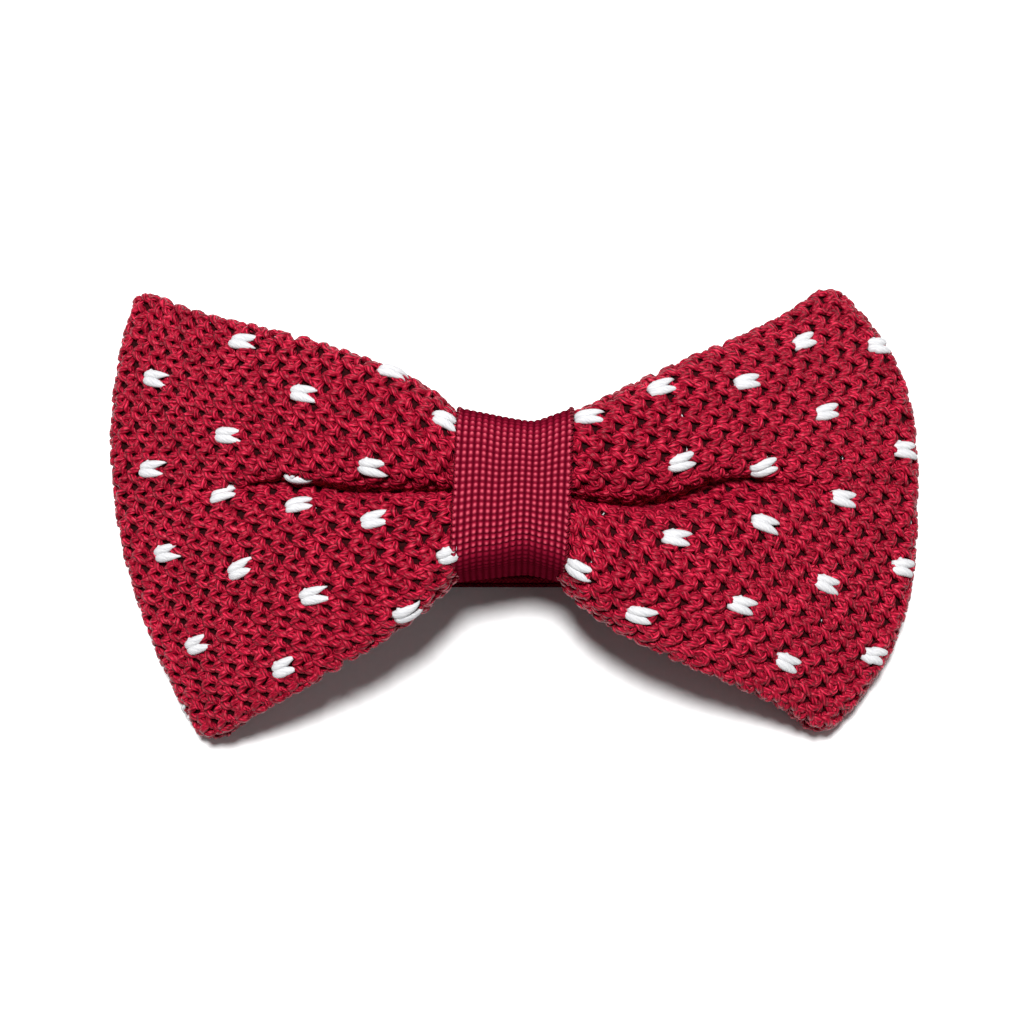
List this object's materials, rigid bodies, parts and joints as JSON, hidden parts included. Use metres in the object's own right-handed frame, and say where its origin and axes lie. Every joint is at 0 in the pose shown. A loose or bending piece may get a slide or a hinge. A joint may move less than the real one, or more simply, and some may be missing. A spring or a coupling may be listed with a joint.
{
  "type": "bow tie",
  "caption": "Pre-tied knitted bow tie with a woven knot band, on a folded adjustable neck strap with a slide, a hook and an eye.",
  "frame": {"origin": "on the resting surface, under the middle of the bow lying face up", "axes": "+X along the bow towards the wearer's left, +Y to its top edge, +Z out of its face"},
  "size_m": [0.1199, 0.0667, 0.0246],
  "materials": {
    "crimson_knit": "silky multifilament yarn, loop knitted",
    "white_yarn": "soft matte yarn",
    "crimson_band": "ribbed woven band",
    "thread": "sewing thread",
    "strap_weave": "ribbed woven strap",
    "plated_steel": "nickel plated, lightly polished"
  },
  "bodies": {
    "bow": {"knitted_bow": "crimson_knit", "contrast_stitches": "white_yarn", "loop_seam": "thread", "centre_tack": "thread", "knot_band": "crimson_band", "band_seam": "thread"},
    "strap": {"neck_strap": "strap_weave", "strap_tail": "strap_weave", "eye_tack": "thread"},
    "adjuster": {"slide_adjuster": "plated_steel", "adjuster_loop": "strap_weave", "adjuster_tack": "thread"},
    "loop_end": {"strap_loop": "strap_weave"},
    "hook": {"hook": "plated_steel"},
    "eye": {"eye": "plated_steel"}
  },
  "joints": [
    {"name": "strap_travel", "type": "slide", "parent": "bow", "child": "strap", "axis": [1, 0, 0], "range_m": [-0.002, 0.002]},
    {"name": "slide_travel", "type": "slide", "parent": "strap", "child": "adjuster", "axis": [1, 0, 0], "range_m": [-0.008, 0.003], "deforming": ["strap_tail"]},
    {"name": "hook_travel", "type": "slide", "parent": "adjuster", "child": "loop_end", "axis": [1, 0, 0], "range_m": [-0.0015, 0.004], "deforming": ["strap_loop"]},
    {"name": "hook_swing", "type": "hinge", "parent": "loop_end", "child": "hook", "pos_m": [0.0098, -0.0028, 0.00122], "axis": [0, 1, 0], "range_deg": [0, 100]},
    {"name": "eye_swing", "type": "hinge", "parent": "strap", "child": "eye", "pos_m": [0.0265, -0.0028, 0.00122], "axis": [0, -1, 0], "range_deg": [0, 100]}
  ],
  "couplings": [
    {"joint": "hook_travel", "follows": "slide_travel", "ratio": -0.5}
  ]
}
